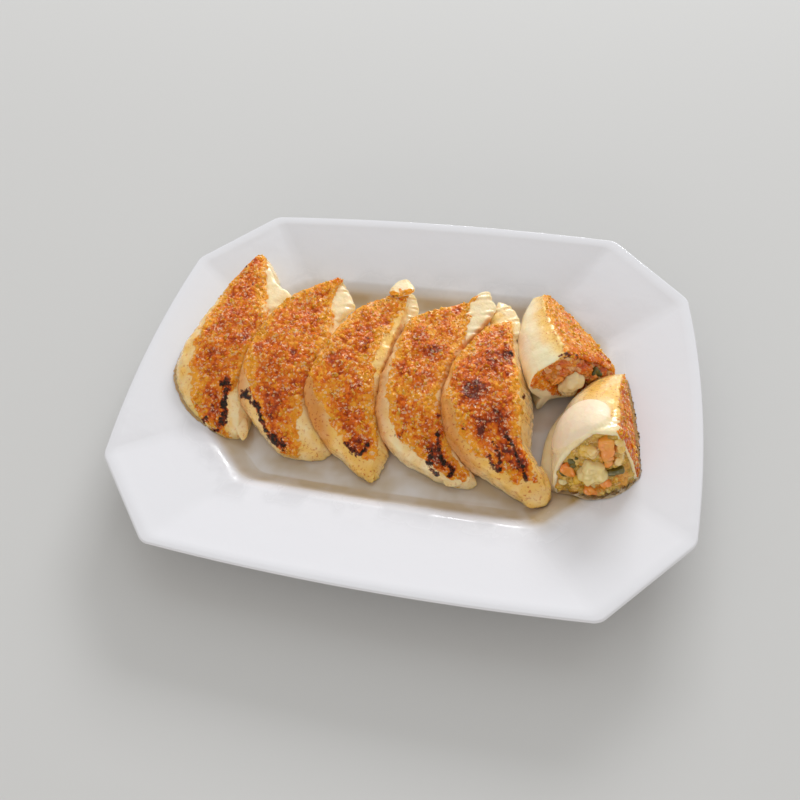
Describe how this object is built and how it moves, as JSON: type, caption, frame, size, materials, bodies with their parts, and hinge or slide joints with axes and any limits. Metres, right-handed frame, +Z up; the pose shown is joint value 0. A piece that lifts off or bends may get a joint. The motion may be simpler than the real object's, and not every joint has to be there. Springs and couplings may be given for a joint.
{
  "type": "plate of gyoza dumplings",
  "caption": "Pan-fried gyoza dumplings lying browned side up in an overlapping row on a shallow octagonal plate, with a halved dumpling at the end showing its prawn and vegetable filling.",
  "frame": {"origin": "under the middle of the plate, on the surface it stands on", "axes": "+X along the plate's long side towards the cut dumpling, +Y from the plate's front to its back, +Z up"},
  "size_m": [0.224, 0.1718, 0.036],
  "materials": {
    "porcelain": "glossy white glaze on porcelain",
    "browned_dough": "pan-fried dough, orange-brown and oily, charred in spots",
    "steamed_dough": "moist pale yellow dough, slightly translucent",
    "filling": "moist chopped filling, orange-brown",
    "prawn": "moist cooked prawn, cream-white"
  },
  "bodies": {
    "root": {"plate": "porcelain", "gyoza_1": "browned_dough", "gyoza_2": "browned_dough", "gyoza_3": "browned_dough", "gyoza_4": "browned_dough", "gyoza_5": "browned_dough", "half_back_skin": "steamed_dough", "half_back_filling": "filling", "half_back_prawn": "prawn", "half_front_skin": "steamed_dough", "half_front_filling": "filling", "half_front_prawn": "prawn"}
  },
  "joints": []
}
